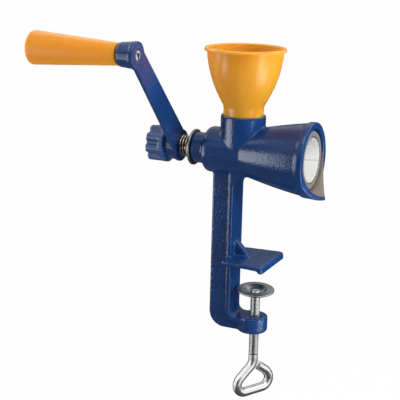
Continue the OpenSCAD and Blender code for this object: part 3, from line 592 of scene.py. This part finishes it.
# Clamp pad: a pressed dish with a rolled rim, which sits loose on its rivet and so tips a little
pad = {"sheet": 1.5, "dishDepth": 3.4, "hole": 3.25, "floorR": 7.0, "lipR": 10.4, "wallOut": 0.6,
       "wallDrop": 0.2, "drop": 0.5, "rimFall": 0.1, "rimDepth": 1.7, "rimFlat": 1.2, "curl": (1.4, 1.8),
       "corners": {1: 2.0, 2: 1.6, 3: 0.5, 4: 0.6, 5: 0.6, 6: 0.4, 7: 0.4, 8: 0.8, 9: 1.4},
       "tip": 4.0, "tipAxis": (0.91, 0.41, 0)}
padTop = span("clamp_pad", 2)[1]
padR = span("clamp_pad", 0)[1] - screwCentre[0]
dishFloor = padTop - pad["dishDepth"]
dishUnder = dishFloor - pad["sheet"]
edgeTop = padTop - pad["drop"]
edgeLow = edgeTop - pad["rimDepth"]
padOutline = softCorners([
    (dishFloor, pad["hole"]), (dishFloor, pad["floorR"]), (padTop, pad["lipR"]),
    (edgeTop, padR - pad["rimFlat"]), (edgeTop - pad["rimFall"], padR), (edgeLow, padR),
    (edgeLow, padR - pad["rimFlat"]), (edgeTop - pad["curl"][0], padR - pad["curl"][1]),
    (padTop - pad["sheet"] - pad["wallDrop"], pad["lipR"] + pad["wallOut"]),
    (dishUnder, pad["floorR"] + pad["wallOut"]), (dishUnder, pad["hole"]), (dishFloor, pad["hole"])],
    pad["corners"], 7)
padDish = turnedPiece("padDish", padOutline, screwCentre, "Z")


def tipPiece(piece, centre, axis, degrees):
    # turns a finished piece about a point, and leaves its object unturned
    point = Vector(centre) * mm
    turn = Matrix.Rotation(math.radians(degrees), 4, Vector(axis))
    piece.matrix_world = Matrix.Translation(point) @ turn @ Matrix.Translation(-point)
    settle(piece)


tipPiece(padDish, (screwCentre[0], 0, dishFloor), pad["tipAxis"], pad["tip"])
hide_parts("clamp_pad")

# Clamp screw: rivet end in the pad, rolled thread that runs out above the bend, and the bent loop
# flank and crest: shares of the pitch
screw = {"radius": 4.2, "pitch": 1.25, "depth": 0.4, "flank": 0.22, "crest": 0.48, "runOut": 2.6, "play": 0.1,
         "neck": 3.15, "headR": 4.75, "headHeight": 1.7, "headEdge": 0.8, "dimpleR": 1.6, "dimpleDepth": 0.5,
         "headCorners": {3: 0.4, 4: 0.8, 5: 0.5}}
# The loop: its bar, and the places of its legs as shares of the sides and of the rod's radius
loop = {"bendZ": -88.5, "height": 36.5, "bow": 8.0, "left": 21.3, "right": 19.3, "barRise": 2.2, "turn": 58.0,
        "elbow": 1.3, "leftLeg": (0.62, 4), "rightLeg": (0.76, 3.5), "tip": (1.2, 1.85),
        "overhang": (0.7, 0.72), "wider": {1: 1, 2: 6, 3: 0, 4: 0, 5: 5}, "cover": 2.5, "endBevel": 0.7}
headFoot = dishFloor + screw["play"]
headTop = headFoot + screw["headHeight"]
threadTop = dishUnder - screw["play"]
headOutline = softCorners([
    (threadTop, screw["radius"] - screw["headEdge"]), (threadTop, screw["neck"]), (headFoot, screw["neck"]),
    (headFoot, screw["headR"]), (headTop, screw["headR"] - screw["headEdge"]), (headTop, screw["dimpleR"]),
    (headTop - screw["dimpleDepth"], 0)], screw["headCorners"], 4)
screwHead = turnedPiece("screwHead", headOutline, screwCentre, "Z", 64)
threadTurns = int((threadTop - loop["bendZ"] - screw["runOut"]) / screw["pitch"])
threadEnd = threadTop - threadTurns * screw["pitch"]
threadRoot = screw["radius"] - screw["depth"]


def threadProfile():
    # one pitch of the thread, from root to root
    flank, crest = screw["flank"] * screw["pitch"], screw["crest"] * screw["pitch"]
    foot = (screw["pitch"] - crest - 2 * flank) / 2
    profile = [(0, threadRoot), (foot, threadRoot), (foot + flank, screw["radius"]),
               (foot + flank + crest, screw["radius"]), (foot + 2 * flank + crest, threadRoot),
               (screw["pitch"], threadRoot)]
    return [(threadEnd + z, r) for z, r in profile]


def loopPath():
    bar = loop["bendZ"] - loop["height"] + screw["radius"]
    r, bend, bow = screw["radius"], loop["bendZ"], loop["bow"]
    left, right = loop["left"], loop["right"]
    corners = [(0, threadEnd - loop["cover"]), (0, bend - loop["elbow"] * r),
               (-loop["leftLeg"][0] * left, bend - loop["leftLeg"][1] * r),
               (-left - loop["overhang"][0] * bow, bar),
               (right + loop["overhang"][1] * bow, bar + loop["barRise"]),
               (loop["rightLeg"][0] * right, bend - loop["rightLeg"][1] * r),
               (loop["tip"][0] * r, bend - loop["tip"][1] * r)]
    flat = softCorners(corners, {k: bow + more for k, more in loop["wider"].items()}, 14)
    turn = math.radians(loop["turn"])
    return [(screwCentre[0] + u * math.cos(turn), u * math.sin(turn), z) for u, z in flat]


screwThread = turnedPiece("screwThread", threadProfile(), screwCentre, "Z", 48, rise=screw["pitch"],
                          turns=threadTurns - 1, gap=2e-6, smooth=25)
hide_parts("clamp_screw")
# a short sleeve under the last turn, a hair inside the loop's rod, where the thread fades out
sleeve = {"above": 0.3, "inset": 0.1, "start": 0.12, "fade": 1.2, "length": 3.0, "hair": 0.02}
sleeveTop, sleeveR = threadEnd + sleeve["above"], screw["radius"] - sleeve["hair"]
runOutOutline = [(sleeveTop, threadRoot - sleeve["inset"]), (sleeveTop, screw["radius"] - sleeve["start"]),
                 (threadEnd - sleeve["fade"], sleeveR), (threadEnd - sleeve["length"], sleeveR)]
threadRunOut = turnedPiece("threadRunOut", runOutOutline, screwCentre, "Z", 64)
screwLoop = tubeAlong("screwLoop", loopPath(), screw["radius"], 9)
useModifier(screwLoop, "BEVEL", width=loop["endBevel"] * mm, segments=3, limit_method="ANGLE",
            angle_limit=math.radians(60))
print("turned pieces made")

# Finishes and bodies
finishes = [
    (bodyCasting, blueEnamel, "housing", "blue_enamel"), (armCasting, armEnamel, "crank", "blue_enamel"),
    (knobMoulding, knobPlastic, "knob", "blue_knob"), (hopperCup, amberPlastic, "cup", "amber_plastic"),
    (gripMoulding, gripPlastic, "handle", "grip_plastic"), (springWire, springSteel, "shaft", "dark_steel"),
    (thrustRing, washerSteel, "shaft", "dark_steel"), (rivetEnd, rivetSteel, "crank", "zinc_steel"),
    (padDish, padSteel, "pad", "zinc_steel"), (screwHead, zincPlate, "screw", "zinc_steel"),
    (screwThread, threadZinc, "screw", "zinc_steel"), (threadRunOut, zincPlate, "screw", "zinc_steel"),
    (screwLoop, zincPlate, "screw", "zinc_steel")]
for piece, material, body, slotName in finishes:
    piece.data.materials.clear()
    piece.data.materials.append(material)
    # the hopper's inside faces get the copy with painted light
    if piece == hopperCup:
        piece.data.materials.append(insidePaintedLightPlastic)
        insideFaces(piece, hopperCentre)
    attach(piece, body)
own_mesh(springWire)
nodeFinish = {"grinding_ring": greyIron, "spindle_bush": bronze, "spindle": blackSteel, "feed_worm": greyIron,
              "worm_pin": groundSteel, "grinding_cone": coneIron, "cone_pin": groundSteel,
              "grip_pin": zincPlate, "grip_washer": blackSteel, "head_washer": darkSteel,
              "knob_insert": zincPlate}
for nodeName, material in nodeFinish.items():
    nodes[nodeName].data.materials.clear()
    nodes[nodeName].data.materials.append(material)
print("finishes set on", len(finishes), "new pieces and", len(nodeFinish), "solids")

# Stage, light and camera: the view in degrees, millimetres and pixels, the studio in metres
view = {"azimuth": 24.39, "elevation": 14.52, "roll": 1.38, "distance": 969.64, "focalPx": 1090.69,
        "imagePx": 400, "aim": (-36.2, 0.0, 50.82), "sensor": 36}
studio = {"floorZ": -0.30, "floorSize": 40.0, "worldFill": 0.43, "floorWhite": 0.98, "tentR": 1.35,
          "tentTop": 0.7, "aim": (0, 0, 0.06)}
floorZ = studio["floorZ"]


def backgroundRay(material):
    # 1 for rays that see the background: from the camera, in a reflection or through glass
    path = addNode(material, "ShaderNodeLightPath")
    seen = addNode(material, "ShaderNodeMath", {"operation": "MAXIMUM"},
                   i0=path.outputs["Is Camera Ray"], i1=path.outputs["Is Glossy Ray"])
    return addNode(material, "ShaderNodeMath", {"operation": "MAXIMUM"},
                   i0=seen.outputs[0], i1=path.outputs["Is Transmission Ray"]).outputs[0]


def makeStage():
    dropSelection()
    bpy.ops.mesh.primitive_grid_add(x_subdivisions=4, y_subdivisions=4, size=studio["floorSize"],
                                    location=(0, 0, floorZ))
    floor = nameActive("studioFloor")
    settle(floor)
    # matt white paint, mostly lit from itself where it is seen: it stays white and keeps a faint shadow
    material, shader = newMaterial("whiteFloorPaint")
    shader.inputs["Base Color"].default_value = srgb("#f6f6f6")
    shader.inputs["Roughness"].default_value = 0.9
    shader.inputs["Specular IOR Level"].default_value = 0.0
    shining = addNode(material, "ShaderNodeEmission", {"Strength": 1.0})
    share = addNode(material, "ShaderNodeMath", {"operation": "MULTIPLY", "i1": studio["floorWhite"]},
                    i0=backgroundRay(material))
    both = addNode(material, "ShaderNodeMixShader", None,
                   i0=share.outputs[0], i1=shader.outputs[0], i2=shining.outputs[0])
    joinTo(material, both.outputs[0], material.node_tree.nodes["Material Output"].inputs["Surface"])
    floor.data.materials.append(material)
    world = bpy.data.worlds.new("studioWorld")
    bpy.context.scene.world = world
    world.use_nodes = True
    background = world.node_tree.nodes["Background"]
    background.inputs["Color"].default_value = (1, 1, 1, 1)
    strength = addNode(world, "ShaderNodeMapRange", {"To Min": studio["worldFill"], "To Max": 1.0},
                       Value=backgroundRay(world))
    joinTo(world, strength.outputs["Result"], background.inputs["Strength"])


def around(degrees, distance, height):
    # a place round the object, by its angle to the right of the camera
    angle = math.radians(view["azimuth"] + degrees)
    return (distance * math.sin(angle), -distance * math.cos(angle), height)


# matt cloths, which give the gloss and the bright metal something dark to mirror
greyCloth = makePlain("greyFlagCloth", "#969698", "#8e8e90", 40, 0.9, specular=0.0)
darkCloth = makePlain("darkFlagCloth", "#3e3e40", "#363638", 40, 0.9, specular=0.0)


def hangCloth(piece, cloth):
    # seen in reflections alone
    settle(piece)
    piece.data.materials.append(cloth)
    piece.visible_camera = piece.visible_diffuse = piece.visible_shadow = False


def addFlag(name, place, aim, size):
    dropSelection()
    bpy.ops.mesh.primitive_plane_add(size=1, location=place)
    flag = nameActive(name)
    flag.scale = (size[0], size[1], 1)
    flag.rotation_euler = (Vector(aim) - Vector(place)).to_track_quat("Z", "Y").to_euler()
    hangCloth(flag, darkCloth)


def addTent():
    # the grey cloth all round, open above
    dropSelection()
    height = studio["tentTop"] - floorZ
    bpy.ops.mesh.primitive_cylinder_add(vertices=64, radius=studio["tentR"], depth=height,
                                        end_fill_type="NOTHING", location=(0, 0, floorZ + height / 2))
    hangCloth(nameActive("darkTent"), greyCloth)


def addLamp(name, place, size, power, diffuse=True, glossy=True, onto=None, aim=studio["aim"]):
    dropSelection()
    bpy.ops.object.light_add(type="AREA", location=place)
    lamp = nameActive(name)
    lamp.data.shape = "RECTANGLE"
    lamp.data.size, lamp.data.size_y = size
    lamp.data.energy = power
    lamp.visible_camera = False
    lamp.visible_diffuse, lamp.visible_glossy = diffuse, glossy
    lamp.rotation_euler = (Vector(aim) - Vector(place)).to_track_quat("-Z", "Y").to_euler()
    if onto:
        lamp.light_linking.receiver_collection = onto


def addCard(name, place, size, power, group, aim=studio["aim"]):
    # shows as a highlight on one group of pieces, and adds no other light
    addLamp(name, place, size, power, diffuse=False, onto=group, aim=aim)


def pieceGroup(name, pieces):
    # the pieces that a reflector is set up for
    group = bpy.data.collections.new(name)
    for piece in pieces:
        group.objects.link(piece)
    return group


def makeCamera():
    az, el, roll = (math.radians(view[k]) for k in ("azimuth", "elevation", "roll"))
    back = Vector((math.sin(az) * math.cos(el), -math.cos(az) * math.cos(el), math.sin(el)))
    right = Vector((math.cos(az), math.sin(az), 0))
    up = back.cross(right)
    turnedRight = right * math.cos(roll) + up * math.sin(roll)
    turnedUp = up * math.cos(roll) - right * math.sin(roll)
    dropSelection()
    bpy.ops.object.camera_add()
    camera = nameActive("photoCamera")
    axes = Matrix((turnedRight, turnedUp, back)).transposed().to_4x4()
    place = (Vector(view["aim"]) + back * view["distance"]) * mm
    camera.matrix_world = Matrix.Translation(place) @ axes
    camera.data.sensor_width = view["sensor"]
    camera.data.lens = view["sensor"] * view["focalPx"] / view["imagePx"]
    camera.data.clip_start, camera.data.clip_end = 0.05, 20
    bpy.context.scene.camera = camera


makeStage()
addTent()
addFlag("frontFloorFlag", around(0, 0.7, floorZ + 0.01), around(0, 0.7, 1.0), (2.0, 1.9))
addFlag("backFloorFlag", (0.0, 1.05, floorZ + 0.012), (0.0, 1.05, 1.0), (2.6, 1.7))
addFlag("backFlag", around(131, 1.3, -0.02), (0, 0, 0.1), (0.9, 0.55))
addFlag("cameraFlag", around(-10, 1.25, 0.1), studio["aim"], (1.0, 0.9))
addLamp("keySoftbox", around(60, 1.1, 0.32), (0.8, 0.7), 15.5, glossy=False)
addLamp("topSoftbox", around(-10, 0.45, 1.2), (0.7, 0.6), 5)
# one set of reflectors can't suit dark enamel, plastics and bright zinc, so each group has its own
glossyPieces = [bodyCasting, knobMoulding, hopperCup, gripMoulding, springWire, thrustRing, rivetEnd]
besideArm = pieceGroup("besideArm", glossyPieces)
paintedPieces = pieceGroup("paintedPieces", glossyPieces + [armCasting])
armOnly = pieceGroup("armOnly", [armCasting])
mouldedPieces = pieceGroup("mouldedPieces", [hopperCup, gripMoulding])
platedPieces = pieceGroup("platedPieces", [padDish, screwHead, screwThread, threadRunOut, screwLoop])
addCard("leftReflector", around(-79, 0.75, 0.04), (0.46, 0.5), 5.2, besideArm)
addCard("armReflector", around(-79, 0.75, 0.04), (0.46, 0.5), 2.2, armOnly)  # weaker, for the arm's flat back
addCard("upperReflector", around(-112, 0.85, 0.6), (0.5, 0.5), 2.6, paintedPieces)
addCard("backReflector", around(112, 0.9, 0.75), (0.6, 0.5), 2.2, paintedPieces)
addCard("neckStrip", around(50, 0.6, -0.03), (0.1, 0.2), 0.8, paintedPieces, aim=(0, 0, 0.125))
addLamp("leftFill", around(-108, 0.9, 0.3), (0.5, 0.5), 5.0, glossy=False, onto=mouldedPieces,
        aim=(0, 0, 0.16))
addCard("overheadCard", around(183, 0.9, 1.05), (1.0, 0.8), 6.0, mouldedPieces)
addCard("hopperCard", around(72, 0.3, floorZ + 0.04), (0.3, 0.4), 1.0, mouldedPieces)
addCard("rightReflector", around(60, 0.6, -0.19), (0.5, 0.2), 1.7, paintedPieces)
for name, place, size, power, group in (
        ("frontFloorGlow", around(0, 0.7, floorZ + 0.03), (2.0, 1.9), 2.4, paintedPieces),
        ("leftFloorCard", (-0.72, -0.55, floorZ + 0.03), (1.2, 1.1), 3.5, platedPieces),
        ("rightFloorCard", (1.0, -0.33, floorZ + 0.03), (1.2, 1.55), 5.0, platedPieces)):
    addCard(name, place, size, power, group, aim=(place[0], place[1], 1.0))  # these face straight up
addCard("leftCard", around(-75, 0.7, 0.2), (1.2, 0.96), 3.8, platedPieces)
addCard("rightCard", around(71, 0.5, 0.2), (1.15, 0.96), 3.6, platedPieces)
addCard("padCard", around(163, 1.2, -0.19), (0.4, 0.2), 0.32, platedPieces)
makeCamera()
bpy.context.scene.view_settings.view_transform = "Standard"
print("stage and camera set")
